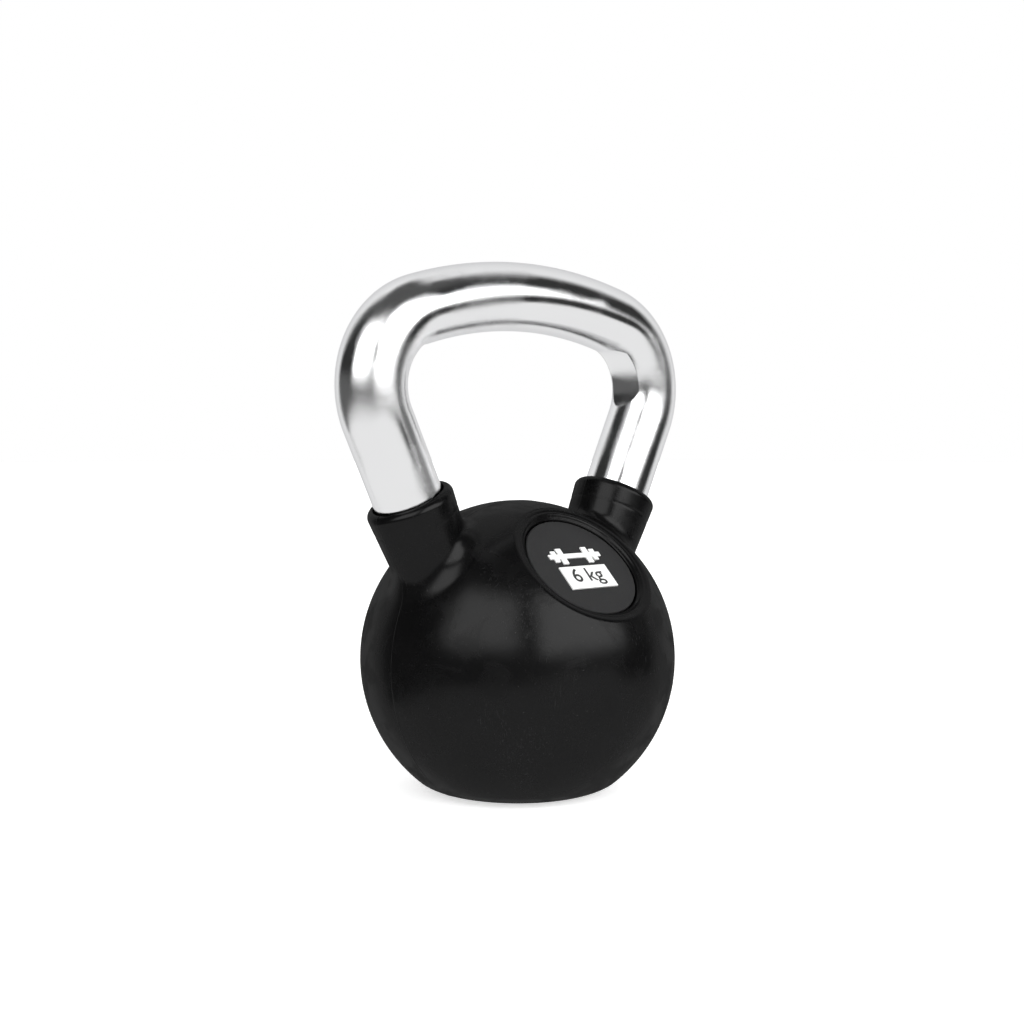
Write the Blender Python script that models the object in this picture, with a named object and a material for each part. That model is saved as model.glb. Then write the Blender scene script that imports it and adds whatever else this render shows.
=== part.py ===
"""A 6 kg kettlebell: a cast-iron core in a moulded rubber jacket, with a bent, chrome-plated steel
handle pinned into the core, and a round badge on the front.

Units are metres, +Z is up. The origin is at the middle of the flat foot, the handle lies in the XZ
plane, and the badge looks towards -Y and up.
"""

import math

import bmesh
import bpy
from mathutils import Matrix, Vector

# ---------------------------------------------------------------- driving dimensions

BALL_RADIUS = 0.065
BALL_CENTRE = Vector((0.0, 0.0, 0.055))
FOOT_EDGE_RADIUS = 0.005

BAR_RADIUS = 0.014
GRIP_TOP_Z = 0.20325          # the bar's centreline at the middle of the grip
GRIP_ARC_RADIUS = 0.187
CORNER_RADIUS = 0.031         # of the bar's centreline
LEG_TILT = math.radians(25.2)
LEG_POINT = Vector((0.0556, 0.0, 0.120))
ROOT_END_Z = 0.062            # the bar's ends, in the core
ROOT_CHAMFER = 0.0015
FLAT_ANGLE = math.radians(36)     # the inner side of each bend is pressed flat, to this angle each way
FLAT_RUN_OUT = 0.012              # length over which a flat comes to its full width

COLLAR_RADIUS = 0.0180            # at the rim
COLLAR_FOOT_RADIUS = 0.0157
COLLAR_RIM_Z = 0.1225         # the middle of the rim, on the leg's centreline
COLLAR_RIM_ROUNDING = 0.0030
COLLAR_FOOT_Z = 0.090
BORE_RADIUS = 0.0146
BORE_LENGTH = 0.090           # from the bar's end, past the rim

CORE_RADIUS = 0.0494
CORE_FOOT_HEIGHT = 0.0425     # from the ball's centre down to the core's flat underside
SOCKET_RADIUS = 0.0143
SOCKET_FLOOR_GAP = 0.0003

PIN_RADIUS = 0.0030
PIN_HOLE_RADIUS = 0.0033
PIN_Z = 0.072
PIN_LENGTH = 0.046
PIN_CHAMFER = 0.0006

BADGE_TILT = math.radians(46.25)    # of the badge's normal above the horizon
BADGE_PLANE = 0.0556                # from the ball's centre to the disc's face
DISC_RADIUS = 0.0246
DISC_THICKNESS = 0.0030
DISC_EDGE_RADIUS = 0.0005
SEAT_RADIUS = 0.0252
DISH_LIP = 0.0002                   # the dish's inner edge, above the disc's face
DISH_SLOPE = 0.45                   # rise of the dish from the seat out to the ball's surface
DISH_RADIUS = 0.0320
RING_RADIUS = 0.0275                # the crest of the raised ring in the dish
RING_WIDTH = 0.0018
RING_RISE = 0.00035                 # of the crest above the dish

INLAY_THICKNESS = 0.0010
INLAY_PROUD = 0.0003
LABEL_SIZE = (0.0245, 0.0113)
LABEL_DROP = 0.0057                 # from the badge's middle down to the plate's middle
MOTIF_RISE = 0.0056                 # from the badge's middle up to the motif's middle
MOTIF_BAR_LENGTH = 0.0272
MOTIF_BAR_HEIGHT = 0.0022
MOTIF_INNER_PLATE = (0.0054, 0.0082, 0.0080)    # from the middle to its near and far side, height
MOTIF_OUTER_PLATE = (0.0092, 0.0116, 0.0056)

GAP = 0.0003

# A number of sides that is even but no multiple of 4 puts corners on +-Y and flats on +-X.
BALL_SIDES = 54
CORE_SIDES = 38
BAR_SIDES = 24
COLLAR_SIDES = 30
BORE_SIDES = 22
PIN_SIDES = 16
BADGE_SIDES = 48
SMOOTH_ANGLE = math.radians(35)


# ---------------------------------------------------------------- materials and small tools

def principled(name, colour, roughness, metallic):
    material = bpy.data.materials.new(name)
    material.use_nodes = True
    shader = material.node_tree.nodes["Principled BSDF"]
    shader.inputs["Base Color"].default_value = (*colour, 1.0)
    shader.inputs["Roughness"].default_value = roughness
    shader.inputs["Metallic"].default_value = metallic
    return material


def add_object(name, bm, material=None, matrix=None):
    """Turn a bmesh into a named object, with its faces pointing out, shaded smooth where round."""
    bmesh.ops.recalc_face_normals(bm, faces=bm.faces)
    mesh = bpy.data.meshes.new(name)
    bm.to_mesh(mesh)
    bm.free()
    mesh.shade_smooth()
    mesh.set_sharp_from_angle(angle=SMOOTH_ANGLE)
    piece = bpy.data.objects.new(name, mesh)
    bpy.context.scene.collection.objects.link(piece)
    if matrix is not None:
        piece.matrix_world = matrix
    if material is not None:
        mesh.materials.append(material)
    return piece


def as_cutter(piece):
    piece.hide_render = True
    piece.display_type = "WIRE"
    return piece


def boolean(target, tool, operation):
    modifier = target.modifiers.new(f"{operation}_{tool.name}", "BOOLEAN")
    modifier.object = tool
    modifier.operation = operation
    modifier.solver = "EXACT"


def turned(profile, sides):
    """Turn an outline of (radius, height) points, from bottom to top, round Z.

    Radius 0 makes a single point. Each ring starts at +Y.
    """
    bm = bmesh.new()
    rings = []
    for radius, height in profile:
        if radius == 0.0:
            rings.append([bm.verts.new((0.0, 0.0, height))])
            continue
        angles = (math.pi / 2 + 2 * math.pi * i / sides for i in range(sides))
        rings.append([bm.verts.new((radius * math.cos(a), radius * math.sin(a), height)) for a in angles])
    for lower, upper in zip(rings, rings[1:]):
        for i in range(sides):
            j = (i + 1) % sides
            if len(lower) == 1:
                bm.faces.new((lower[0], upper[j], upper[i]))
            elif len(upper) == 1:
                bm.faces.new((lower[i], lower[j], upper[0]))
            else:
                bm.faces.new((lower[i], lower[j], upper[j], upper[i]))
    return bm


def arc(centre, radius, start, end, steps):
    """Points (x, z) on an arc, from one angle to another, both ends included."""
    angles = (start + (end - start) * i / steps for i in range(steps + 1))
    return [(centre[0] + radius * math.cos(a), centre[1] + radius * math.sin(a)) for a in angles]


def frame_along(point, direction):
    """A placement at a point, with local Z along a direction."""
    return Matrix.Translation(point) @ direction.to_track_quat("Z", "Y").to_matrix().to_4x4()


# ---------------------------------------------------------------- the bar's route

def leg_direction(side):
    """Up along a leg; side is 1 on the +X side and -1 on the other."""
    return Vector((side * math.sin(LEG_TILT), 0.0, math.cos(LEG_TILT)))


def leg_point(side, height):
    """The point of a leg's centreline at a height above the foot."""
    run = (height - LEG_POINT.z) * math.tan(LEG_TILT)
    return Vector((side * (LEG_POINT.x + run), 0.0, height))


def corner_centre():
    """The corner arc touches the leg's line and the grip's arc from inside. Returns its centre."""
    arc_centre_z = GRIP_TOP_Z - GRIP_ARC_RADIUS
    offset_x = LEG_POINT.x - CORNER_RADIUS / math.cos(LEG_TILT)
    slope = math.tan(LEG_TILT)
    # the centre lies on the leg's line moved inwards by the corner radius, x = offset_x + slope * u,
    # and at GRIP_ARC_RADIUS - CORNER_RADIUS from the grip arc's centre
    drop = LEG_POINT.z - arc_centre_z
    reach = GRIP_ARC_RADIUS - CORNER_RADIUS
    a = 1.0 + slope * slope
    b = 2.0 * (offset_x * slope + drop)
    c = offset_x * offset_x + drop * drop - reach * reach
    u = (-b + math.sqrt(b * b - 4.0 * a * c)) / (2.0 * a)
    return offset_x + slope * u, LEG_POINT.z + u


def pressed_depth(run):
    """How deep the flat lies in the bar, at a run from the nearer end of the bend."""
    return BAR_RADIUS * (1.0 - math.cos(FLAT_ANGLE * math.sqrt(min(1.0, run / FLAT_RUN_OUT))))


def bar_route():
    """The bar's centreline in the XZ plane, from the root on the +X side to the one on the -X side.

    Each point is (x, z, depth of the flat on the bar's inner side).
    """
    kx, kz = corner_centre()
    arc_centre_z = GRIP_TOP_Z - GRIP_ARC_RADIUS
    grip_start = math.atan2(kz - arc_centre_z, kx)
    steps = 12
    step_length = CORNER_RADIUS * (grip_start + LEG_TILT) / steps
    corner = arc((kx, kz), CORNER_RADIUS, -LEG_TILT, grip_start, steps)
    corner = [(x, z, pressed_depth(min(i, steps - i) * step_length)) for i, (x, z) in enumerate(corner)]
    grip = arc((0.0, arc_centre_z), GRIP_ARC_RADIUS, grip_start, math.pi / 2, 5)
    root = leg_point(1, ROOT_END_Z)
    half = [(root.x, root.z, 0.0)] + corner + [(x, z, 0.0) for x, z in grip[1:]]
    return half + [(-x, z, depth) for x, z, depth in reversed(half[:-1])]


def swept_bar(route, radius, sides, chamfer):
    """A round bar along a flat route in XZ, with chamfered ends and the route's flats inside the bends."""
    points = [Vector((x, 0.0, z)) for x, z, _ in route]
    stations = []
    for i, point in enumerate(points):
        before = points[max(i - 1, 0)]
        after = points[min(i + 1, len(points) - 1)]
        stations.append((point, (after - before).normalized(), radius, radius - route[i][2]))
    first, last = stations[0], stations[-1]
    stations[0] = (first[0] + first[1] * chamfer, first[1], radius, radius)
    stations[-1] = (last[0] - last[1] * chamfer, last[1], radius, radius)
    stations.insert(0, (first[0], first[1], radius - chamfer, radius))
    stations.append((last[0], last[1], radius - chamfer, radius))
    bm = bmesh.new()
    rings = []
    across = Vector((0.0, 1.0, 0.0))
    for point, tangent, ring_radius, inner_limit in stations:
        outward = across.cross(tangent)
        ring = []
        for i in range(sides):
            a = 2 * math.pi * i / sides
            out = max(ring_radius * math.cos(a), -inner_limit)
            ring.append(bm.verts.new(point + outward * out + across * (ring_radius * math.sin(a))))
        rings.append(ring)
    for lower, upper in zip(rings, rings[1:]):
        for i in range(sides):
            j = (i + 1) % sides
            bm.faces.new((lower[i], lower[j], upper[j], upper[i]))
    bm.faces.new(rings[0])
    bm.faces.new(rings[-1])
    return bm


# ---------------------------------------------------------------- shapes used more than once

def footed_ball(radius, foot_height, edge, rings, sides):
    """A ball with a flat foot, foot_height below its centre, and a rounded or sharp foot edge."""
    if edge > 0.0:
        # the rounding touches the foot from above and the ball from inside
        edge_centre_z = edge - foot_height
        edge_centre_x = math.sqrt((radius - edge) ** 2 - edge_centre_z ** 2)
        joint = math.atan2(edge_centre_z, edge_centre_x)
        outline = arc((edge_centre_x, edge_centre_z), edge, -math.pi / 2, joint, 4)
    else:
        joint = -math.asin(foot_height / radius)
        outline = [(radius * math.cos(joint), -foot_height)]
    below = math.ceil(rings * -joint / (math.pi / 2 - joint))
    outline += arc((0.0, 0.0), radius, joint, 0.0, below)[1:]
    outline += arc((0.0, 0.0), radius, 0.0, math.pi / 2, rings - below)[1:-1]
    return turned([(0.0, -foot_height)] + outline + [(0.0, radius)], sides)


def drum(radius, bottom, top, rounding, sides, foot_radius=None):
    """A cylinder or cone along Z with a rounded or sharp upper edge."""
    outline = [(0.0, bottom), (foot_radius or radius, bottom)]
    if rounding > 0.0:
        outline += arc((radius - rounding, top - rounding), rounding, 0.0, math.pi / 2, 3)
    else:
        outline.append((radius, top))
    return turned(outline + [(0.0, top)], sides)


def flat_plate(width, height, thickness, middle):
    """A box with its top face in local Z = 0, centred on middle in local X and Y."""
    bm = bmesh.new()
    centre = Vector((middle[0], middle[1], -thickness / 2))
    placement = Matrix.Translation(centre) @ Matrix.Diagonal((width, height, thickness, 1.0))
    bmesh.ops.create_cube(bm, size=1.0, matrix=placement)
    return bm


def outline_plate(outline, thickness):
    """A plate of any outline, with its top face in local Z = 0."""
    bm = bmesh.new()
    bottom = [bm.verts.new((x, y, -thickness)) for x, y in outline]
    face = bm.faces.new(bottom)
    top = bmesh.ops.extrude_face_region(bm, geom=[face])
    raised = [item for item in top["geom"] if isinstance(item, bmesh.types.BMVert)]
    bmesh.ops.translate(bm, verts=raised, vec=(0.0, 0.0, thickness))
    return bm


# ---------------------------------------------------------------- the pieces

def make_pin_drill(side):
    """The cutter for one cross-pin hole, through the core and the bar's root."""
    placement = frame_along(leg_point(side, PIN_Z), Vector((0.0, 1.0, 0.0)))
    bm = drum(PIN_HOLE_RADIUS, -CORE_RADIUS, CORE_RADIUS, 0.0, PIN_SIDES)
    return as_cutter(add_object(f"pin_drill_{side_name(side)}", bm, matrix=placement))


def side_name(side):
    return "right" if side > 0 else "left"


def make_handle(material, drills):
    bm = swept_bar(bar_route(), BAR_RADIUS, BAR_SIDES, ROOT_CHAMFER)
    handle = add_object("handle", bm, material)
    for drill in drills:
        boolean(handle, drill, "DIFFERENCE")
    return handle


def make_core(material, drills):
    placement = Matrix.Translation(BALL_CENTRE)
    bm = footed_ball(CORE_RADIUS, CORE_FOOT_HEIGHT, 0.0, 13, CORE_SIDES)
    core = add_object("core", bm, material, placement)
    for side in (1, -1):
        floor = leg_point(side, ROOT_END_Z) - leg_direction(side) * SOCKET_FLOOR_GAP
        socket = drum(SOCKET_RADIUS, 0.0, CORE_RADIUS, 0.0, BAR_SIDES)
        cutter = add_object(f"socket_{side_name(side)}", socket, matrix=frame_along(floor, leg_direction(side)))
        boolean(core, as_cutter(cutter), "DIFFERENCE")
    for drill in drills:
        boolean(core, drill, "DIFFERENCE")
    return core


def make_pin(side, material):
    """A cross pin with chamfered ends, lying along Y through the core and the bar's root."""
    half = PIN_LENGTH / 2
    outline = [(0.0, -half), (PIN_RADIUS - PIN_CHAMFER, -half), (PIN_RADIUS, -half + PIN_CHAMFER),
               (PIN_RADIUS, half - PIN_CHAMFER), (PIN_RADIUS - PIN_CHAMFER, half), (0.0, half)]
    placement = frame_along(leg_point(side, PIN_Z), Vector((0.0, 1.0, 0.0)))
    return add_object(f"pin_{side_name(side)}", turned(outline, PIN_SIDES), material, placement)


def badge_frame():
    """Placement of the badge: local Z out of the disc's face, local X to the viewer's right."""
    normal = Vector((0.0, -math.cos(BADGE_TILT), math.sin(BADGE_TILT)))
    right = Vector((1.0, 0.0, 0.0))
    axes = Matrix((right, normal.cross(right), normal)).transposed()
    return Matrix.Translation(BALL_CENTRE + normal * BADGE_PLANE) @ axes.to_4x4()


def badge_seat_outline():
    """The cutter for the disc's seat and the dish round it, with the raised ring as a notch."""
    def dish(radius):
        return DISH_LIP + DISH_SLOPE * (radius - SEAT_RADIUS)

    inner = RING_RADIUS - RING_WIDTH / 2
    outer = RING_RADIUS + RING_WIDTH / 2
    outline = [(0.0, -DISC_THICKNESS - GAP), (SEAT_RADIUS, -DISC_THICKNESS - GAP), (SEAT_RADIUS, DISH_LIP)]
    outline.append((inner, dish(inner)))
    for step in (-0.25, 0.0, 0.25):
        radius = RING_RADIUS + step * RING_WIDTH
        outline.append((radius, dish(radius) + RING_RISE * (1.0 - 4.0 * step * step)))
    outline += [(outer, dish(outer)), (DISH_RADIUS, dish(DISH_RADIUS))]
    return outline + [(DISH_RADIUS, BALL_RADIUS - BADGE_PLANE), (0.0, BALL_RADIUS - BADGE_PLANE)]


def make_jacket(material):
    """The rubber skin: ball and collars, less the badge's dish and seat, the bores and the core's room."""
    bm = footed_ball(BALL_RADIUS, BALL_CENTRE.z, FOOT_EDGE_RADIUS, 20, BALL_SIDES)
    jacket = add_object("jacket", bm, material, Matrix.Translation(BALL_CENTRE))

    for side in (1, -1):
        foot = leg_point(side, COLLAR_FOOT_Z)
        length = (leg_point(side, COLLAR_RIM_Z) - foot).length
        bm = drum(COLLAR_RADIUS, 0.0, length, COLLAR_RIM_ROUNDING, COLLAR_SIDES, COLLAR_FOOT_RADIUS)
        collar = add_object(f"collar_{side_name(side)}", bm, matrix=frame_along(foot, leg_direction(side)))
        boolean(jacket, as_cutter(collar), "UNION")

    seat = add_object("badge_seat", turned(badge_seat_outline(), BADGE_SIDES), matrix=badge_frame())
    boolean(jacket, as_cutter(seat), "DIFFERENCE")

    for side in (1, -1):
        # a twist of half a side keeps the bore's corners off the lines of the collar's rim
        twist = Matrix.Rotation(math.pi / BORE_SIDES, 4, "Z")
        bore_bm = drum(BORE_RADIUS, 0.0, BORE_LENGTH, 0.0, BORE_SIDES)
        placement = frame_along(leg_point(side, ROOT_END_Z), leg_direction(side)) @ twist
        bore = add_object(f"bore_{side_name(side)}", bore_bm, matrix=placement)
        boolean(jacket, as_cutter(bore), "DIFFERENCE")

    room_bm = footed_ball(CORE_RADIUS + GAP, CORE_FOOT_HEIGHT + GAP, 0.0, 13, CORE_SIDES)
    room = add_object("core_room", room_bm, matrix=Matrix.Translation(BALL_CENTRE))
    boolean(jacket, as_cutter(room), "DIFFERENCE")
    return jacket


def motif_outline(grow):
    """A plain dumbbell seen from the side: a bar and two plates at each end, grown by a margin."""
    bar_top = MOTIF_BAR_HEIGHT / 2 + grow
    quarter = []
    for near, far, height in (MOTIF_INNER_PLATE, MOTIF_OUTER_PLATE):
        top = height / 2 + grow
        quarter += [(near - grow, bar_top), (near - grow, top), (far + grow, top), (far + grow, bar_top)]
    quarter.append((MOTIF_BAR_LENGTH / 2 + grow, bar_top))
    right = quarter + [(x, -y) for x, y in reversed(quarter)]
    left = [(-x, -y) for x, y in right]
    return [(x, y + MOTIF_RISE) for x, y in right + left]


def make_badge(disc_material, inlay_material):
    """The disc in its seat, with a pocket for each of the two inlays that stand a little proud."""
    frame = badge_frame()
    disc = add_object("badge_disc", drum(DISC_RADIUS, -DISC_THICKNESS, 0.0, DISC_EDGE_RADIUS, BADGE_SIDES),
                      disc_material, frame)
    proud = frame @ Matrix.Translation((0.0, 0.0, INLAY_PROUD))
    deep = INLAY_THICKNESS + GAP
    width, height = LABEL_SIZE
    middle = (0.0, -LABEL_DROP)

    label_pocket = add_object("label_pocket", flat_plate(width + 2 * GAP, height + 2 * GAP, deep, middle),
                              matrix=proud)
    motif_pocket = add_object("motif_pocket", outline_plate(motif_outline(GAP), deep), matrix=proud)
    for pocket in (label_pocket, motif_pocket):
        boolean(disc, as_cutter(pocket), "DIFFERENCE")

    add_object("badge_label", flat_plate(width, height, INLAY_THICKNESS, middle), inlay_material, proud)
    add_object("badge_motif", outline_plate(motif_outline(0.0), INLAY_THICKNESS), inlay_material, proud)


def main():
    for existing in list(bpy.data.objects):
        bpy.data.objects.remove(existing, do_unlink=True)

    chrome = principled("chrome_plate", (0.80, 0.80, 0.81), 0.08, 1.0)
    cast_iron = principled("cast_iron", (0.10, 0.10, 0.11), 0.65, 1.0)
    pin_steel = principled("pin_steel", (0.45, 0.45, 0.46), 0.35, 1.0)
    rubber = principled("rubber", (0.018, 0.018, 0.018), 0.42, 0.0)
    disc_plastic = principled("disc_plastic", (0.030, 0.030, 0.031), 0.70, 0.0)
    inlay_white = principled("inlay_white", (0.85, 0.85, 0.84), 0.50, 0.0)

    drills = [make_pin_drill(side) for side in (1, -1)]
    make_handle(chrome, drills)
    make_core(cast_iron, drills)
    for side in (1, -1):
        make_pin(side, pin_steel)
    make_jacket(rubber)
    make_badge(disc_plastic, inlay_white)


main()
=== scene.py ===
"""Looks of the 6 kg kettlebell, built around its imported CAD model.

The rubber jacket is one finely meshed skin that follows a distance function: ball, collars with
fillets, badge dish and ring, seat, bores and mould line. The bent bar is swept at high resolution, and the
badge's pieces, the hidden core and the cross pins keep their CAD meshes and get materials; the badge's
plate also gets its figures.

Units are metres, in the frame of the CAD model: +Z is up, the handle lies in the XZ plane and the
badge looks towards -Y and up.
"""

import math

import bmesh
import bpy
import numpy as np
from mathutils import Matrix, Vector


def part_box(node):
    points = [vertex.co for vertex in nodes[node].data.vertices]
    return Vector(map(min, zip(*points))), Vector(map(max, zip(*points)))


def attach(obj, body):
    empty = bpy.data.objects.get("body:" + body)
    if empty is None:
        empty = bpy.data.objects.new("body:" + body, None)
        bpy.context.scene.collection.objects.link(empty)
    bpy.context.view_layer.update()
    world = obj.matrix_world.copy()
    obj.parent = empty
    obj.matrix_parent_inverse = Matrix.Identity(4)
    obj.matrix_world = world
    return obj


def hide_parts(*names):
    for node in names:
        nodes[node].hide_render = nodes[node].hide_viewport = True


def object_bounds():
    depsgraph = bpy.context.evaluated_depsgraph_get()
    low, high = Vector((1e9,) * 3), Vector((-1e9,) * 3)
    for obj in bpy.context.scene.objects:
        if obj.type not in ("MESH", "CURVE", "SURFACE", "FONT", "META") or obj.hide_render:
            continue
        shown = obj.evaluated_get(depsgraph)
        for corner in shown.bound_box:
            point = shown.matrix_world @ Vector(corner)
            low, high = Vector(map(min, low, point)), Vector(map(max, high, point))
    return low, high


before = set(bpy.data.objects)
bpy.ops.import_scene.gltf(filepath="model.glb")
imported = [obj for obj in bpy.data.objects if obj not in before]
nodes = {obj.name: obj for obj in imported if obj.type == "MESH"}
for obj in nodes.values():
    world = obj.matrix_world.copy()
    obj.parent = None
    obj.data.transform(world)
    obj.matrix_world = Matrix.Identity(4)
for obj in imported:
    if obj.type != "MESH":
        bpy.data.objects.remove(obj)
cad_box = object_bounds()

# ---------------------------------------------------------------- dimensions of the CAD model

BALL_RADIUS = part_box("jacket")[1].y
BALL_CENTRE = np.array((0.0, 0.0, 0.055))
FOOT_EDGE_RADIUS = 0.005

BAR_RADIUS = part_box("handle")[1].y
GRIP_TOP_Z = cad_box[1].z - BAR_RADIUS      # the bar's centreline at the middle of the grip
GRIP_ARC_RADIUS = 0.187
CORNER_RADIUS = 0.031
LEG_TILT = math.radians(25.2)
LEG_POINT = np.array((0.0556, 0.0, 0.120))
ROOT_END_Z = 0.062
ROOT_CHAMFER = 0.0015

COLLAR_RADIUS = 0.0180                      # at the rim
COLLAR_TAPER = 0.065                        # radius lost per metre below the rim
COLLAR_RIM_Z = 0.1225
COLLAR_RIM_ROUNDING = 0.0033
COLLAR_DEPTH = 0.040
COLLAR_FOOT_Z = 0.090
BORE_RADIUS = 0.0146

CORE_ROOM_RADIUS = 0.0497
CORE_ROOM_FLOOR = 0.0428                    # from the ball's centre down to the room's floor

PIN_HOLE_RADIUS = 0.0033
PIN_Z = 0.072

BADGE_TILT = math.radians(46.25)
BADGE_PLANE = 0.0556                        # from the ball's centre to the disc's face
SEAT_RADIUS = 0.0252
SEAT_DEPTH = 0.0033
DISH_LIP = 0.0002                           # the dish's inner edge, above the disc's face
DISH_SLOPE = 0.45
RING_RADIUS = 0.0275
INLAY_PROUD = 0.0003
LABEL_DROP = 0.0057

# ---------------------------------------------------------------- details that only the looks have

BAR_SIDES = 160
BAR_STATION_SPACING = 0.0018
FLAT_STATION_SPACING = 0.00075
FLAT_FACETS = 16                            # a tenth of the bar's girth to each side is pressed flat
FLAT_RUN_OUT = 0.012                        # length over which the flat comes to its full width

COLLAR_FILLET = 0.0065
DISH_EDGE_ROUNDING = 0.0012
RING_ROUNDING = 0.0010                      # the raised ring's section is an arc of this radius
RING_SINK = 0.00062                         # from the dish down to the arc's centre
RING_FILLET = 0.0004
BORE_MOUTH_ROUNDING = 0.0006
SEAT_EDGE_ROUNDING = 0.0005
CREASE_BELOW_RIM = 0.0095
CREASE_DEPTH = 0.00010
CREASE_WIDTH = 0.0006
FLASH_HEIGHT = 0.00010
FLASH_WIDTH = 0.00026

FIGURES_SIZE = 0.0096
FIGURES_THICKNESS = 0.00004
FIGURES_BOLDNESS = 0.00010

VOXEL = 0.0011
FOOT_SPREAD = 0.0025                        # how far the collars' feet are spread before the remesh
FOOT_BELOW_RIM = 0.010                      # the feet are at least this far below the rim
GRADIENT_STEP = 0.00002
LARGEST_STEP = 0.0006
RELAXING_ROUNDS = 22
DETAIL_LEVELS = 2

DETAIL_RING = (0.0240, 0.0310)              # distances from the badge's axis
DETAIL_RING_HEIGHT = 0.050                  # from the ball's centre along the badge's axis
DETAIL_RIM_DEPTH = 0.0045
DETAIL_RIM_RADIUS = 0.0200
DETAIL_CREASE_REACH = 0.0014
DETAIL_CREASE = (0.0160, 0.0195)            # distances from the leg's axis
DETAIL_FLASH_REACH = 0.0012
DETAIL_FLASH_RADIUS = 0.058                 # from the ball's centre
DETAIL_FLASH_LEG_RADIUS = 0.0155


# ---------------------------------------------------------------- small tools

def add_object(name, mesh, matrix=None):
    piece = bpy.data.objects.new(name, mesh)
    bpy.context.scene.collection.objects.link(piece)
    if matrix is not None:
        piece.matrix_world = matrix
    return piece


def finish_piece(piece, material, slot, *replaced):
    """Give a piece its material, let it ride on the body and stand for CAD nodes; the slot is not used."""
    piece.data.materials.clear()
    piece.data.materials.append(material)
    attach(piece, "root")
    if replaced:
        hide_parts(*replaced)


def dress_node(name, material):
    """Give a CAD node that stays as it is its material."""
    for material_slot in nodes[name].material_slots:
        material_slot.material = material


def apply_modifiers(piece):
    """Put the result of a piece's modifiers in its mesh."""
    depsgraph = bpy.context.evaluated_depsgraph_get()
    mesh = bpy.data.meshes.new_from_object(piece.evaluated_get(depsgraph))
    piece.modifiers.clear()
    piece.data = mesh


def coordinates(mesh):
    """The places of a mesh's vertices, one row each."""
    co = np.empty(len(mesh.vertices) * 3)
    mesh.vertices.foreach_get("co", co)
    return co.reshape(-1, 3)


def leg_point(height):
    """The point of the right leg's centreline at a height above the foot."""
    return LEG_POINT + np.array((math.tan(LEG_TILT), 0.0, 1.0)) * (height - LEG_POINT[2])


def to_mesh(name, bm, smooth_angle=math.radians(30)):
    """Turn a bmesh into a mesh that is smooth but for its sharp edges."""
    bmesh.ops.recalc_face_normals(bm, faces=bm.faces)
    mesh = bpy.data.meshes.new(name)
    bm.to_mesh(mesh)
    bm.free()
    mesh.shade_smooth()
    mesh.set_sharp_from_angle(angle=smooth_angle)
    return mesh


def badge_frame():
    """Placement of the badge: local Z out of the disc's face, local X to the viewer's right."""
    normal = Vector((0.0, -math.cos(BADGE_TILT), math.sin(BADGE_TILT)))
    right = Vector((1.0, 0.0, 0.0))
    axes = Matrix((right, normal.cross(right), normal)).transposed()
    return Matrix.Translation(Vector(BALL_CENTRE) + normal * BADGE_PLANE) @ axes.to_4x4()


# ---------------------------------------------------------------- node materials

class Nodes:
    """Short calls that add and join the nodes of one material."""

    def __init__(self, name):
        self.material = bpy.data.materials.new(name)
        self.material.use_nodes = True
        self.tree = self.material.node_tree
        self.shader = self.tree.nodes["Principled BSDF"]

    def add(self, kind, settings=None, **inputs):
        node = self.tree.nodes.new(kind)
        for key, value in (settings or {}).items():
            setattr(node, key, value)
        for key, value in inputs.items():
            self.put(node.inputs[key.replace("_", " ")], value)
        return node

    def put(self, socket, value):
        if isinstance(value, bpy.types.NodeSocket):
            self.tree.links.new(value, socket)
        else:
            socket.default_value = value

    def place(self, scale=(1.0, 1.0, 1.0), source="Object", turn=(0.0, 0.0, 0.0)):
        """The point on the object, in metres, times a scale."""
        coordinate = self.add("ShaderNodeTexCoord").outputs[source]
        mapping = self.add("ShaderNodeMapping", Vector=coordinate, Scale=scale, Rotation=turn)
        return mapping.outputs["Vector"]

    def noise(self, vector, scale, detail=2.0, roughness=0.5, distortion=0.0):
        node = self.add("ShaderNodeTexNoise", Vector=vector, Scale=scale, Detail=detail,
                        Roughness=roughness, Distortion=distortion)
        return node.outputs["Fac"]

    def ramp(self, value, low, high, to_low=0.0, to_high=1.0):
        node = self.add("ShaderNodeMapRange", {"interpolation_type": "SMOOTHSTEP"}, Value=value,
                        From_Min=low, From_Max=high, To_Min=to_low, To_Max=to_high)
        return node.outputs["Result"]

    def math(self, operation, a, b):
        node = self.add("ShaderNodeMath", {"operation": operation})
        self.put(node.inputs[0], a)
        self.put(node.inputs[1], b)
        return node.outputs[0]

    def mix_colour(self, factor, a, b):
        node = self.add("ShaderNodeMix", {"data_type": "RGBA"})
        self.put(node.inputs["Factor"], factor)
        self.put(node.inputs[6], (*a, 1.0) if isinstance(a, tuple) else a)
        self.put(node.inputs[7], (*b, 1.0) if isinstance(b, tuple) else b)
        return node.outputs[2]

    def bump(self, height, distance, strength=1.0, below=None):
        """Small relief; distance is the real depth, in metres, of a height of 1."""
        node = self.add("ShaderNodeBump", Height=height, Distance=distance, Strength=strength)
        if below is not None:
            self.tree.links.new(below, node.inputs["Normal"])
        return node.outputs["Normal"]

    def set(self, **inputs):
        for key, value in inputs.items():
            self.put(self.shader.inputs[key.replace("_", " ")], value)


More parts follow.
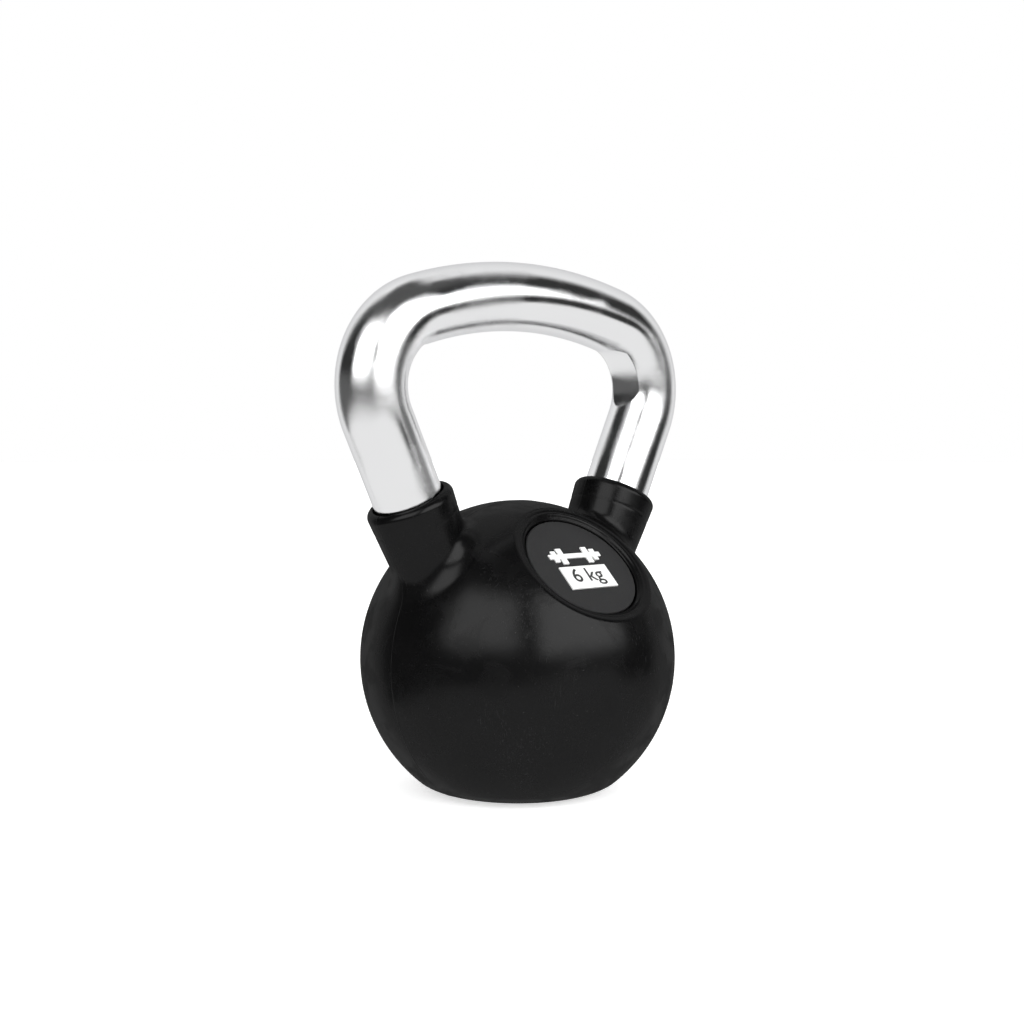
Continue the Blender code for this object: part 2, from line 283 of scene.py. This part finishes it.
def rubber_material():
    """Satin black rubber from a polished mould: fine grain, a slow waviness, smudges and faint scuffs."""
    m = Nodes("rubber_skin_look")
    place = m.place()
    cloud = m.noise(place, 60.0, 4.0)
    grain = m.noise(place, 2600.0, 3.0, 0.6)
    wave = m.noise(place, 45.0, 1.0)
    dimple = m.noise(place, 260.0, 2.0, 0.5)
    streak = m.noise(m.place((1500.0, 1500.0, 170.0), turn=(0.5, 0.9, 0.2)), 1.0, 3.0, 0.65)
    patch = m.ramp(m.noise(place, 42.0, 2.0), 0.50, 0.66)
    scuff = m.math("MULTIPLY", m.ramp(streak, 0.56, 0.72), patch)
    smudge = m.ramp(m.noise(place, 75.0, 6.0, 0.65, 0.6), 0.42, 0.66)
    dust = m.ramp(m.noise(place, 1500.0, 1.0), 0.74, 0.80)

    base = m.mix_colour(cloud, (0.0022, 0.0022, 0.0023), (0.0036, 0.0036, 0.0037))
    worn = m.mix_colour(scuff, base, (0.0120, 0.0120, 0.0125))
    m.set(Base_Color=m.mix_colour(m.math("MULTIPLY", dust, 0.5), worn, (0.040, 0.040, 0.040)))
    rough = m.math("ADD", m.ramp(smudge, 0.0, 1.0, 0.21, 0.31), m.math("MULTIPLY", scuff, 0.22))
    edge_on = m.add("ShaderNodeLayerWeight", Blend=0.5).outputs["Facing"]
    m.set(Roughness=m.math("ADD", rough, m.ramp(edge_on, 0.45, 0.95, 0.0, 0.40)))
    m.set(Specular_IOR_Level=m.ramp(edge_on, 0.08, 0.62, 0.15, 0.02))
    relief = m.bump(grain, 0.000010)
    relief = m.bump(dimple, 0.000025, below=relief)
    m.set(Normal=m.bump(wave, 0.00022, below=relief))
    return m.material


def chrome_material():
    """Chrome plate on polished steel: faint orange peel and hair-fine polishing marks."""
    m = Nodes("chrome_plate_look")
    place = m.place()
    along_marks = m.noise(m.place((5200.0, 160.0, 1.0), "UV"), 1.0, 3.0, 0.6)
    peel = m.noise(place, 420.0, 2.0, 0.5)
    pitted = m.ramp(m.noise(place, 38.0, 2.0), 0.38, 0.62, 0.25, 1.0)
    speckle = m.math("MULTIPLY", m.noise(place, 1900.0, 4.0, 0.7), pitted)
    scratch_field = m.noise(m.place((1.0, 1.0, 0.04), turn=(0.4, 0.6, 0.0)), 2200.0, 2.0)
    scratch = m.ramp(scratch_field, 0.68, 0.74)

    tint = m.noise(place, 24.0, 2.0)
    m.set(Base_Color=m.mix_colour(tint, (0.780, 0.782, 0.788), (0.815, 0.816, 0.820)))
    m.shader.inputs["Metallic"].default_value = 1.0
    m.shader.inputs["Specular Tint"].default_value = (0.72, 0.72, 0.73, 1.0)
    rough = m.ramp(along_marks, 0.35, 0.75, 0.07, 0.13)
    m.set(Roughness=m.math("ADD", rough, m.math("MULTIPLY", scratch, 0.10)))
    relief = m.bump(speckle, 0.000080)
    relief = m.bump(along_marks, 0.0000050, below=relief)
    m.set(Normal=m.bump(peel, 0.000010, below=relief))
    return m.material


def plastic_material():
    """Matte moulded plastic of the disc, with a fine spark-eroded grain."""
    m = Nodes("disc_plastic_look")
    place = m.place()
    grain = m.noise(place, 3400.0, 3.0, 0.7)
    cloud = m.noise(place, 90.0, 3.0)
    m.set(Base_Color=m.mix_colour(cloud, (0.014, 0.014, 0.0145), (0.018, 0.018, 0.0185)))
    m.set(Roughness=m.ramp(grain, 0.3, 0.7, 0.50, 0.62))
    m.shader.inputs["Specular IOR Level"].default_value = 0.20
    m.set(Normal=m.bump(grain, 0.000018))
    return m.material


def inlay_material():
    """White moulded plastic of the plate and the motif."""
    m = Nodes("inlay_white_look")
    place = m.place()
    grain = m.noise(place, 2600.0, 2.0)
    cloud = m.noise(place, 150.0, 4.0)
    m.set(Base_Color=m.mix_colour(cloud, (0.80, 0.80, 0.79), (0.87, 0.87, 0.86)))
    m.set(Roughness=m.ramp(grain, 0.3, 0.7, 0.42, 0.52))
    m.set(Normal=m.bump(grain, 0.000006))
    return m.material


def figures_material():
    """Black ink of the figures, laid on thickly enough to have its own edge."""
    m = Nodes("figures_ink_look")
    place = m.place()
    cloud = m.noise(place, 900.0, 3.0)
    m.set(Base_Color=m.mix_colour(cloud, (0.010, 0.010, 0.010), (0.020, 0.020, 0.020)))
    m.set(Roughness=m.ramp(cloud, 0.3, 0.7, 0.45, 0.58))
    m.set(Normal=m.bump(cloud, 0.000008))
    return m.material


def cast_iron_material():
    """Sand-cast iron: coarse skin, dark grey with brown-grey patches."""
    m = Nodes("cast_iron_look")
    place = m.place()
    sand = m.noise(place, 1100.0, 4.0, 0.7)
    patch = m.noise(place, 55.0, 4.0)
    m.set(Base_Color=m.mix_colour(patch, (0.075, 0.073, 0.072), (0.125, 0.118, 0.112)))
    m.shader.inputs["Metallic"].default_value = 1.0
    m.set(Roughness=m.ramp(sand, 0.3, 0.7, 0.58, 0.78))
    m.set(Normal=m.bump(sand, 0.00008))
    return m.material


def pin_steel_material():
    """Turned steel of the cross pins, with fine tool marks round the pin."""
    m = Nodes("pin_steel_look")
    marks = m.noise(m.place((200.0, 9000.0, 200.0)), 1.0, 2.0)
    patch = m.noise(m.place(), 120.0, 3.0)
    m.set(Base_Color=m.mix_colour(patch, (0.42, 0.42, 0.43), (0.50, 0.50, 0.51)))
    m.shader.inputs["Metallic"].default_value = 1.0
    m.set(Roughness=m.ramp(marks, 0.3, 0.7, 0.26, 0.40))
    m.set(Normal=m.bump(marks, 0.000006))
    return m.material


# ---------------------------------------------------------------- the bar

def corner_centre():
    """The corner arc touches the leg's line and the grip's arc from inside. Returns its centre."""
    arc_centre_z = GRIP_TOP_Z - GRIP_ARC_RADIUS
    offset_x = LEG_POINT[0] - CORNER_RADIUS / math.cos(LEG_TILT)
    slope = math.tan(LEG_TILT)
    drop = LEG_POINT[2] - arc_centre_z
    reach = GRIP_ARC_RADIUS - CORNER_RADIUS
    a = 1.0 + slope * slope
    b = 2.0 * (offset_x * slope + drop)
    c = offset_x * offset_x + drop * drop - reach * reach
    u = (-b + math.sqrt(b * b - 4.0 * a * c)) / (2.0 * a)
    return offset_x + slope * u, LEG_POINT[2] + u


def bar_stations(spacing):
    """Stations on the centreline's right half, from the root to the top.

    Each is (x, z, tangent angle from +X, number of facets pressed flat beside the inner line).
    """
    kx, kz = corner_centre()
    arc_centre_z = GRIP_TOP_Z - GRIP_ARC_RADIUS
    grip_start = math.atan2(kz - arc_centre_z, kx)
    root = leg_point(ROOT_END_Z)
    bend_x = kx + CORNER_RADIUS * math.cos(-LEG_TILT)
    bend_z = kz + CORNER_RADIUS * math.sin(-LEG_TILT)
    leg_length = math.hypot(bend_x - root[0], bend_z - root[2])
    stations = []
    steps = math.ceil(leg_length / spacing)
    for i in range(steps):
        t = i / steps
        x = root[0] + (bend_x - root[0]) * t
        z = root[2] + (bend_z - root[2]) * t
        stations.append((x, z, math.pi / 2 - LEG_TILT, 0))
    sweep = grip_start + LEG_TILT
    steps = math.ceil(CORNER_RADIUS * sweep / FLAT_STATION_SPACING)
    for i in range(steps):
        a = -LEG_TILT + sweep * i / steps
        from_end = min(i, steps - i) * CORNER_RADIUS * sweep / steps
        pressed = round(FLAT_FACETS * math.sqrt(min(1.0, from_end / FLAT_RUN_OUT)))
        x = kx + CORNER_RADIUS * math.cos(a)
        z = kz + CORNER_RADIUS * math.sin(a)
        stations.append((x, z, a + math.pi / 2, pressed))
    sweep = math.pi / 2 - grip_start
    steps = math.ceil(GRIP_ARC_RADIUS * sweep / spacing)
    for i in range(steps + 1):
        a = grip_start + sweep * i / steps
        x = GRIP_ARC_RADIUS * math.cos(a)
        z = arc_centre_z + GRIP_ARC_RADIUS * math.sin(a)
        stations.append((x, z, a + math.pi / 2, 0))
    return stations


def bar_ring(radius, pressed):
    """One section of the bar: (out, across) of each corner and its normal in the same axes."""
    corners = []
    limit = radius * math.cos(2 * math.pi * pressed / BAR_SIDES)
    for k in range(BAR_SIDES):
        a = 2 * math.pi * k / BAR_SIDES
        out = radius * math.cos(a)
        flat = pressed > 0 and out < -limit - 1e-7
        normal = (-1.0, 0.0) if flat else (math.cos(a), math.sin(a))
        corners.append((max(out, -limit), radius * math.sin(a), normal))
    return corners


def make_handle(material):
    """The bent bar, swept with a fine mesh; its UV map holds length and girth in metres."""
    right = bar_stations(BAR_STATION_SPACING)
    left = [(-x, z, -angle, pressed) for x, z, angle, pressed in reversed(right[:-1])]
    stations = [(x, z, angle, BAR_RADIUS, pressed) for x, z, angle, pressed in right + left]
    stations = with_chamfered_ends(stations)
    bm = bmesh.new()
    normal_layer = bm.verts.layers.float_vector.new("bar_normal")
    rings = []
    lengths = [0.0]
    for before, after in zip(stations, stations[1:]):
        lengths.append(lengths[-1] + math.hypot(after[0] - before[0], after[1] - before[1]))
    for x, z, angle, radius, pressed in stations:
        outward = Vector((math.sin(angle), 0.0, -math.cos(angle)))
        across = Vector((0.0, 1.0, 0.0))
        ring = []
        for out, side, normal in bar_ring(radius, pressed):
            vert = bm.verts.new(Vector((x, 0.0, z)) + outward * out + across * side)
            vert[normal_layer] = outward * normal[0] + across * normal[1]
            ring.append(vert)
        rings.append(ring)
    uv = bm.loops.layers.uv.new("bar")
    for i, (lower, upper) in enumerate(zip(rings, rings[1:])):
        for k in range(BAR_SIDES):
            j = (k + 1) % BAR_SIDES
            face = bm.faces.new((lower[k], lower[j], upper[j], upper[k]))
            corners = ((i, k), (i, k + 1), (i + 1, k + 1), (i + 1, k))
            for loop, (station, step) in zip(face.loops, corners):
                loop[uv].uv = (lengths[station], BAR_RADIUS * 2 * math.pi * step / BAR_SIDES)
    bm.faces.new(rings[0])
    bm.faces.new(rings[-1])
    handle = add_object("chrome_handle", to_mesh("chrome_handle", bm))
    drills = [drill_pin_hole(handle, side) for side in (1, -1)]
    apply_modifiers(handle)
    for drill in drills:
        bpy.data.objects.remove(drill)
    smooth_bar_normals(handle.data)
    finish_piece(handle, material, "chrome_plate", "handle")


def smooth_bar_normals(mesh):
    """Exact normals on the bare part of the bar; the hidden roots keep their own."""
    normals = np.empty(len(mesh.vertices) * 3)
    mesh.attributes["bar_normal"].data.foreach_get("vector", normals)
    normals = normals.reshape(-1, 3)
    normals[coordinates(mesh)[:, 2] < COLLAR_FOOT_Z] = 0.0
    mesh.normals_split_custom_set_from_vertices(normals.tolist())


def with_chamfered_ends(stations):
    """Narrow the first and last ring and add the full ring just behind each."""
    result = list(stations)
    for end, step in ((0, 1), (-1, -1)):
        x, z, angle, radius, pressed = stations[end]
        run = ROOT_CHAMFER * step
        full = (x + math.cos(angle) * run, z + math.sin(angle) * run, angle, radius, pressed)
        tip = (x, z, angle, radius - ROOT_CHAMFER, pressed)
        if end == 0:
            result[0:1] = [tip, full]
        else:
            result[-1:] = [full, tip]
    return result


def drill_pin_hole(handle, side):
    """Cut the cross pin's hole through the bar's root."""
    point = leg_point(PIN_Z)
    bm = bmesh.new()
    bmesh.ops.create_cone(bm, cap_ends=True, segments=32, radius1=PIN_HOLE_RADIUS, radius2=PIN_HOLE_RADIUS,
                          depth=4 * BAR_RADIUS)
    turn = Matrix.Translation((side * point[0], 0.0, point[2])) @ Matrix.Rotation(math.pi / 2, 4, "X")
    drill = add_object(f"pin_drill_{side}", to_mesh("pin_drill", bm), turn)
    modifier = handle.modifiers.new("pin_hole", "BOOLEAN")
    modifier.object = drill
    modifier.operation = "DIFFERENCE"
    modifier.solver = "EXACT"
    return drill


# ---------------------------------------------------------------- the rubber jacket

def round_max(a, b, radius):
    """Where both distances hold, with a rounded edge."""
    u = np.maximum(radius + a, 0.0)
    v = np.maximum(radius + b, 0.0)
    return np.minimum(-radius, np.maximum(a, b)) + np.hypot(u, v)


def round_min(a, b, radius):
    """Where either distance holds, with a fillet between them."""
    u = np.maximum(radius - a, 0.0)
    v = np.maximum(radius - b, 0.0)
    return np.maximum(radius, np.minimum(a, b)) - np.hypot(u, v)


def leg_coordinates(p):
    """Distance from the rim along the leg, negative below it, and distance from the leg's axis."""
    rim = leg_point(COLLAR_RIM_Z)
    x = np.abs(p[:, 0]) - rim[0]
    z = p[:, 2] - rim[2]
    along = x * math.sin(LEG_TILT) + z * math.cos(LEG_TILT)
    across = x * math.cos(LEG_TILT) - z * math.sin(LEG_TILT)
    return along, np.hypot(across, p[:, 1])


def badge_coordinates(p):
    """Height above the ball's centre along the badge's normal, and distance from that axis."""
    q = p - BALL_CENTRE
    height = -q[:, 1] * math.cos(BADGE_TILT) + q[:, 2] * math.sin(BADGE_TILT)
    return height, np.sqrt(np.maximum((q * q).sum(1) - height * height, 0.0))


def flash_height(p):
    """The mould line is higher in some places than in others."""
    unevenness = np.sin(p[:, 0] * 310.0 + 1.0) * np.sin(p[:, 2] * 190.0) + 0.5 * np.sin(p[:, 2] * 530.0 + 2.0)
    return FLASH_HEIGHT * (1.0 + 0.4 * unevenness)


def jacket_distance(p):
    """Distance from each point to the jacket's surface, negative inside the rubber."""
    q = p - BALL_CENTRE
    ball = np.linalg.norm(q, axis=1) - BALL_RADIUS

    along, radial = leg_coordinates(p)
    crease = CREASE_DEPTH * np.exp(-((along + CREASE_BELOW_RIM) / CREASE_WIDTH) ** 2)
    side = radial - (COLLAR_RADIUS + COLLAR_TAPER * along) + crease
    collar = round_max(side, along, COLLAR_RIM_ROUNDING)
    collar = np.maximum(collar, -along - COLLAR_DEPTH)
    body = round_min(ball, collar, COLLAR_FILLET)

    body = body - flash_height(p) * np.exp(-(p[:, 1] / FLASH_WIDTH) ** 2)
    body = round_max(body, -p[:, 2], FOOT_EDGE_RADIUS)

    height, reach = badge_coordinates(p)
    dish_height = BADGE_PLANE + DISH_LIP + DISH_SLOPE * (reach - SEAT_RADIUS)
    dish = (height - dish_height) / math.hypot(1.0, DISH_SLOPE)
    body = round_max(body, dish, DISH_EDGE_ROUNDING)
    ring_centre = BADGE_PLANE + DISH_LIP + DISH_SLOPE * (RING_RADIUS - SEAT_RADIUS) - RING_SINK
    bead = np.hypot(reach - RING_RADIUS, height - ring_centre) - RING_ROUNDING
    body = round_min(body, bead, RING_FILLET)

    seat = np.maximum(reach - SEAT_RADIUS, BADGE_PLANE - SEAT_DEPTH - height)
    body = round_max(body, -seat, SEAT_EDGE_ROUNDING)
    rim_to_root = (COLLAR_RIM_Z - ROOT_END_Z) / math.cos(LEG_TILT)
    bore = np.maximum(radial - BORE_RADIUS, -along - rim_to_root)
    body = round_max(body, -bore, BORE_MOUTH_ROUNDING)
    room = np.maximum(np.linalg.norm(q, axis=1) - CORE_ROOM_RADIUS, -q[:, 2] - CORE_ROOM_FLOOR)
    return np.maximum(body, -room)


def jacket_gradient(p):
    """The direction in which jacket_distance grows, by central differences."""
    gradient = np.empty_like(p)
    for axis in range(3):
        step = np.zeros(3)
        step[axis] = GRADIENT_STEP
        gradient[:, axis] = jacket_distance(p + step) - jacket_distance(p - step)
    return gradient / (2.0 * GRADIENT_STEP)


def drawn_to_surface(p, rounds):
    """Points moved along the gradient until their distance is nil, in short steps."""
    for _ in range(rounds):
        gradient = jacket_gradient(p)
        length = np.maximum((gradient * gradient).sum(1), 0.05)
        step = np.clip(jacket_distance(p), -LARGEST_STEP, LARGEST_STEP)
        p = p - gradient * (step / length)[:, None]
    return p


def relaxed(mesh, p, rounds):
    """Even out the spacing along the surface, and draw the points back onto it."""
    edges = np.empty(len(mesh.edges) * 2, int)
    mesh.edges.foreach_get("vertices", edges)
    edges = edges.reshape(-1, 2)
    count = np.bincount(edges.ravel(), minlength=len(p))[:, None]
    for _ in range(rounds):
        total = np.zeros_like(p)
        np.add.at(total, edges[:, 0], p[edges[:, 1]])
        np.add.at(total, edges[:, 1], p[edges[:, 0]])
        p = drawn_to_surface(p + 0.5 * (total / count - p), 1)
    return p


def needs_detail(p):
    """Where the surface turns sharply: badge ring, rims, creases and mould line."""
    along, radial = leg_coordinates(p)
    height, reach = badge_coordinates(p)
    ring = (height > DETAIL_RING_HEIGHT) & (reach > DETAIL_RING[0]) & (reach < DETAIL_RING[1])
    rim = (along > -DETAIL_RIM_DEPTH) & (radial < DETAIL_RIM_RADIUS)
    crease = np.abs(along + CREASE_BELOW_RIM) < DETAIL_CREASE_REACH
    crease &= (radial > DETAIL_CREASE[0]) & (radial < DETAIL_CREASE[1])
    outside = np.linalg.norm(p - BALL_CENTRE, axis=1) > DETAIL_FLASH_RADIUS
    flash = (np.abs(p[:, 1]) < DETAIL_FLASH_REACH) & (radial > DETAIL_FLASH_LEG_RADIUS)
    flash &= outside & (p[:, 2] > 0.0005)
    return ring | rim | crease | flash


def refined(bm):
    """Halve the edges of the faces that need detail."""
    centres = np.array([face.calc_center_median() for face in bm.faces])
    wanted = needs_detail(centres)
    edges = {edge for face, want in zip(bm.faces, wanted) if want for edge in face.edges}
    bmesh.ops.subdivide_edges(bm, edges=sorted(edges, key=lambda e: e.index), cuts=1, use_grid_fill=True)
    uneven = [face for face in bm.faces if len(face.verts) > 4]
    bmesh.ops.triangulate(bm, faces=uneven)
    for sequence in (bm.verts, bm.edges, bm.faces):
        sequence.index_update()


def widen_collar_feet(mesh):
    """Spread each collar where it meets the ball, or its thin wall would be lost among the voxels."""
    p = coordinates(mesh)
    along, radial = leg_coordinates(p)
    outside = np.linalg.norm(p - BALL_CENTRE, axis=1) > BALL_RADIUS - 0.001
    foot = outside & (along < -FOOT_BELOW_RIM) & (radial > BORE_RADIUS + 0.0004) & (radial < COLLAR_RADIUS)
    for index in np.flatnonzero(foot):
        side = math.copysign(1.0, p[index, 0])
        direction = np.array((side * math.sin(LEG_TILT), 0.0, math.cos(LEG_TILT)))
        rim = np.array((side * leg_point(COLLAR_RIM_Z)[0], 0.0, COLLAR_RIM_Z))
        offset = p[index] - rim
        offset -= direction * (offset @ direction)
        p[index] += offset / np.linalg.norm(offset) * FOOT_SPREAD
    mesh.vertices.foreach_set("co", p.ravel())


def make_jacket(material):
    """The CAD jacket, remeshed finely and drawn onto the surface that jacket_distance describes."""
    jacket = add_object("rubber_jacket", nodes["jacket"].data.copy())
    widen_collar_feet(jacket.data)
    remesh = jacket.modifiers.new("remesh", "REMESH")
    remesh.mode = "VOXEL"
    remesh.voxel_size = VOXEL
    apply_modifiers(jacket)
    mesh = jacket.data

    p = relaxed(mesh, coordinates(mesh), RELAXING_ROUNDS)
    mesh.vertices.foreach_set("co", drawn_to_surface(p, 2).ravel())

    bm = bmesh.new()
    bm.from_mesh(mesh)
    for _ in range(DETAIL_LEVELS):
        refined(bm)
        p = drawn_to_surface(np.array([vert.co for vert in bm.verts]), 3)
        for vert, place in zip(bm.verts, p):
            vert.co = place
    bm.to_mesh(mesh)
    bm.free()

    p = drawn_to_surface(coordinates(mesh), 3)
    p[:, 1] = np.clip(p[:, 1], -BALL_RADIUS, BALL_RADIUS)
    p[:, 2] = np.maximum(p[:, 2], 0.0)
    mesh.vertices.foreach_set("co", p.ravel())
    mesh.shade_smooth()
    gradient = jacket_gradient(p)
    normals = gradient / np.maximum(np.linalg.norm(gradient, axis=1), 1e-6)[:, None]
    mesh.normals_split_custom_set_from_vertices(normals.tolist())
    finish_piece(jacket, material, "rubber_skin", "jacket")


# ---------------------------------------------------------------- the badge

def make_badge_pieces(plastic, white, ink):
    """Give the disc, plate and motif their materials, and lay the figures on the plate."""
    placement = badge_frame()
    proud = placement @ Matrix.Translation((0.0, 0.0, INLAY_PROUD))
    dress_node("badge_disc", plastic)
    dress_node("badge_label", white)
    dress_node("badge_motif", white)

    curve = bpy.data.curves.new("label_figures", "FONT")
    curve.body = "6 kg"
    curve.size = FIGURES_SIZE
    curve.extrude = FIGURES_THICKNESS
    curve.offset = FIGURES_BOLDNESS
    source = add_object("label_figures_source", curve)
    mesh = bpy.data.meshes.new_from_object(source.evaluated_get(bpy.context.evaluated_depsgraph_get()))
    bpy.data.objects.remove(source)
    places = coordinates(mesh)
    middle = (places.min(0) + places.max(0)) / 2
    centred = Matrix.Translation((-middle[0], -LABEL_DROP - middle[1], 0.0))
    figures = add_object("label_figures", mesh, proud @ centred)
    finish_piece(figures, ink, "disc_plastic")


# ---------------------------------------------------------------- hidden pieces

def dress_hidden_nodes():
    """Materials of the pieces inside: the iron core and the cross pins."""
    cast_iron = cast_iron_material()
    pin_steel = pin_steel_material()
    dress_node("core", cast_iron)
    dress_node("pin_right", pin_steel)
    dress_node("pin_left", pin_steel)


# ---------------------------------------------------------------- studio

CAMERA_PLACE = Vector((-0.441769, -0.505529, 0.151241))
CAMERA_AZIMUTH = math.radians(-40.957)
CAMERA_ELEVATION = math.radians(3.084)
CAMERA_LENS = 57.26

FLOOR_RADIUS = 6.0
FLOOR_GLOW = 0.62
SHELL_RADIUS = 2.5
SHELL_CENTRE = Vector((0.0, 0.0, 0.15))
FLOOR_IN_MIRROR = 0.98
LEFT_SOFTBOX = 3.4
RIGHT_SOFTBOX = 4.2
ROOM_DARK = 0.035
CEILING = 0.10


def add_camera():
    data = bpy.data.cameras.new("camera")
    data.lens = CAMERA_LENS
    data.sensor_width = 36.0
    data.clip_start = 0.01
    data.clip_end = 100.0
    camera = bpy.data.objects.new("camera", data)
    bpy.context.scene.collection.objects.link(camera)
    back = Vector((math.sin(CAMERA_AZIMUTH) * math.cos(CAMERA_ELEVATION),
                   -math.cos(CAMERA_AZIMUTH) * math.cos(CAMERA_ELEVATION), math.sin(CAMERA_ELEVATION)))
    right = Vector((math.cos(CAMERA_AZIMUTH), math.sin(CAMERA_AZIMUTH), 0.0))
    axes = Matrix((right, back.cross(right), back)).transposed()
    camera.matrix_world = Matrix.Translation(CAMERA_PLACE) @ axes.to_4x4()
    bpy.context.scene.camera = camera


def add_floor():
    """The pale floor; the studio shell stands in for it in reflections."""
    bm = bmesh.new()
    bmesh.ops.create_circle(bm, cap_ends=True, radius=FLOOR_RADIUS, segments=96)
    floor = add_object("floor", to_mesh("floor", bm))
    m = Nodes("floor_look")
    cloud = m.noise(m.place(), 3.0, 2.0)
    m.set(Base_Color=m.mix_colour(cloud, (0.80, 0.80, 0.80), (0.82, 0.82, 0.82)), Roughness=0.75)
    m.set(Specular_IOR_Level=0.0, Emission_Color=(1.0, 1.0, 1.0, 1.0), Emission_Strength=FLOOR_GLOW)
    floor.data.materials.append(m.material)
    floor.visible_glossy = False


def add_studio_shell():
    """A ball-shaped shell of light round the object: what the chrome mirrors and the rubber shines with.

    Azimuths are from the camera's side, positive to its right, and elevations from the horizon, all in
    degrees seen from the middle of the handle.
    """
    bm = bmesh.new()
    bmesh.ops.create_uvsphere(bm, u_segments=64, v_segments=32, radius=SHELL_RADIUS)
    shell = add_object("studio_shell", to_mesh("studio_shell", bm), Matrix.Translation(SHELL_CENTRE))
    m = Nodes("studio_light")
    unit = m.add("ShaderNodeVectorMath", {"operation": "NORMALIZE"}, Vector=m.place()).outputs["Vector"]
    turned_place = m.add("ShaderNodeVectorRotate", {"rotation_type": "Z_AXIS"}, Vector=unit,
                         Angle=-CAMERA_AZIMUTH).outputs["Vector"]
    split = m.add("ShaderNodeSeparateXYZ", Vector=turned_place)
    x, y, z = (split.outputs[axis] for axis in "XYZ")
    elevation = m.math("DEGREES", m.math("ARCSINE", z, 0.0), 0.0)
    azimuth = m.math("DEGREES", m.math("ARCTAN2", x, m.math("MULTIPLY", y, -1.0)), 0.0)
    beside = m.math("ABSOLUTE", azimuth, 0.0)

    def window(value, low, high, low_blur, high_blur):
        """1 between two limits, each a number or a socket, with blurred borders."""
        rise = m.ramp(m.math("SUBTRACT", value, low), -low_blur / 2, low_blur / 2)
        fall = m.ramp(m.math("SUBTRACT", value, high), -high_blur / 2, high_blur / 2, 1.0, 0.0)
        return m.math("MULTIPLY", rise, fall)

    def panel(level, across, up):
        return m.math("MULTIPLY", m.math("MULTIPLY", window(azimuth, *across), window(elevation, *up)), level)

    floor_edge = m.ramp(azimuth, -115.0, -30.0, -25.0, -14.0)
    floor_edge = m.math("ADD", floor_edge, m.ramp(azimuth, 0.0, 40.0, 0.0, 9.0))
    floor_edge = m.math("SUBTRACT", floor_edge, m.ramp(azimuth, 70.0, 82.0, 0.0, 8.0))
    floor = m.ramp(m.math("SUBTRACT", elevation, floor_edge), -2.0, 2.0, FLOOR_IN_MIRROR, 0.0)
    rear = m.math("MULTIPLY", m.ramp(beside, 104.0, 124.0), m.ramp(elevation, 66.0, 76.0, 1.0, 0.0))
    haze_level = m.ramp(azimuth, -20.0, 20.0, 0.13, 0.26)
    haze_bottom = m.ramp(azimuth, 60.0, 76.0, -24.0, 1.0)
    haze = m.math("MULTIPLY", window(elevation, haze_bottom, 10.0, 6.0, 14.0), haze_level)
    right_top = m.ramp(azimuth, 44.0, 84.0, 50.0, 26.0)
    lights = (
        floor,
        rear,
        haze,
        panel(LEFT_SOFTBOX, (-56.0, 1.0, 16.0, 12.0), (10.0, 50.0, 14.0, 14.0)),
        panel(RIGHT_SOFTBOX, (16.0, 84.0, 8.0, 5.0), (6.0, right_top, 12.0, 8.0)),
        m.ramp(elevation, 40.0, 60.0, ROOM_DARK, CEILING),
    )
    total = lights[0]
    for light in lights[1:]:
        total = m.math("MAXIMUM", total, light)
    m.set(Base_Color=(0.0, 0.0, 0.0, 1.0), Specular_IOR_Level=0.0, Emission_Color=(1.0, 1.0, 1.0, 1.0))
    m.set(Emission_Strength=total)
    shell.data.materials.append(m.material)
    shell.visible_camera = False


def add_world():
    """Plain white behind everything."""
    world = bpy.data.worlds.new("studio")
    bpy.context.scene.world = world
    world.use_nodes = True
    world.node_tree.nodes["Background"].inputs["Color"].default_value = (1.0, 1.0, 1.0, 1.0)
    world.node_tree.nodes["Background"].inputs["Strength"].default_value = 1.0


# ---------------------------------------------------------------- build

make_handle(chrome_material())
make_jacket(rubber_material())
make_badge_pieces(plastic_material(), inlay_material(), figures_material())
dress_hidden_nodes()

add_floor()
add_studio_shell()
add_world()
add_camera()
bpy.context.scene.view_settings.view_transform = "Standard"
